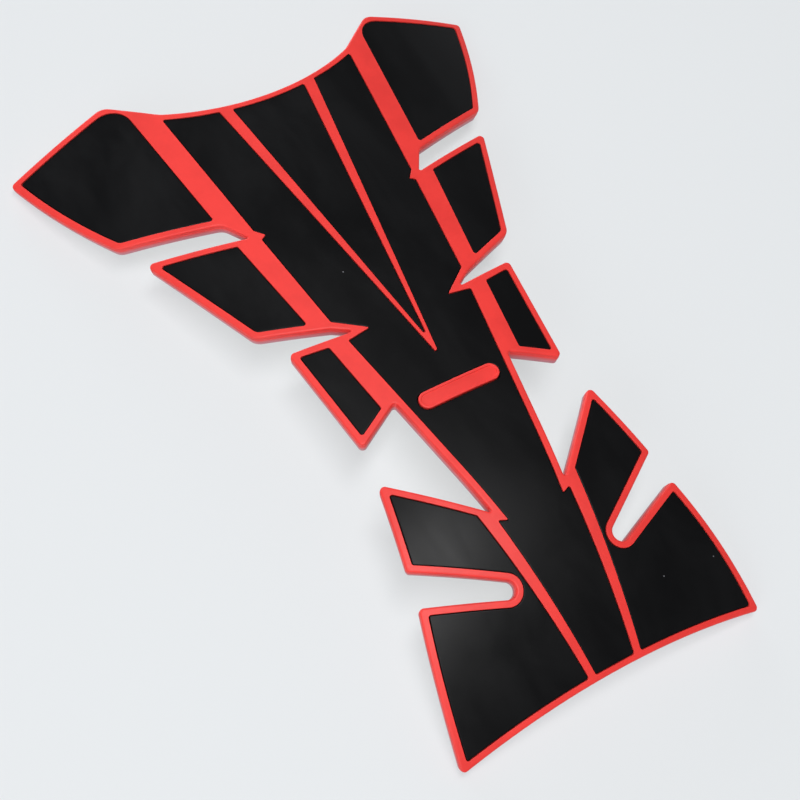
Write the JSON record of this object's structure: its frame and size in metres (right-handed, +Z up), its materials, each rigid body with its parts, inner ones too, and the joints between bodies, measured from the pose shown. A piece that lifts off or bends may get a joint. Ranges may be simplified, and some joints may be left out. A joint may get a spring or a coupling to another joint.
{
  "type": "motorcycle tank pad",
  "caption": "Curved stick-on pad for the crown of a motorcycle fuel tank: red rubber moulding with side spurs, a hollow top edge and inlaid matte black grip panels",
  "frame": {"origin": "middle of the bounding box at its lowest level, on the surface that the shoulder tips and tail corners rest on", "axes": "+X across the pad, +Y along it towards the wide hollow-topped end that points at the filler, +Z up, out of the face with the black panels"},
  "size_m": [0.1612, 0.227, 0.025],
  "materials": {
    "red_rubber": "smooth satin red moulded rubber",
    "black_rubber": "matte black moulded rubber with a very fine grain",
    "adhesive": "thin translucent white adhesive film"
  },
  "bodies": {
    "root": {"base_moulding": "red_rubber", "spine_panel": "black_rubber", "centre_panel": "black_rubber", "right_shoulder_panel": "black_rubber", "left_shoulder_panel": "black_rubber", "right_upper_wing_panel": "black_rubber", "left_upper_wing_panel": "black_rubber", "right_lower_wing_panel": "black_rubber", "left_lower_wing_panel": "black_rubber", "right_tail_panel": "black_rubber", "left_tail_panel": "black_rubber", "adhesive_film": "adhesive"}
  },
  "joints": []
}
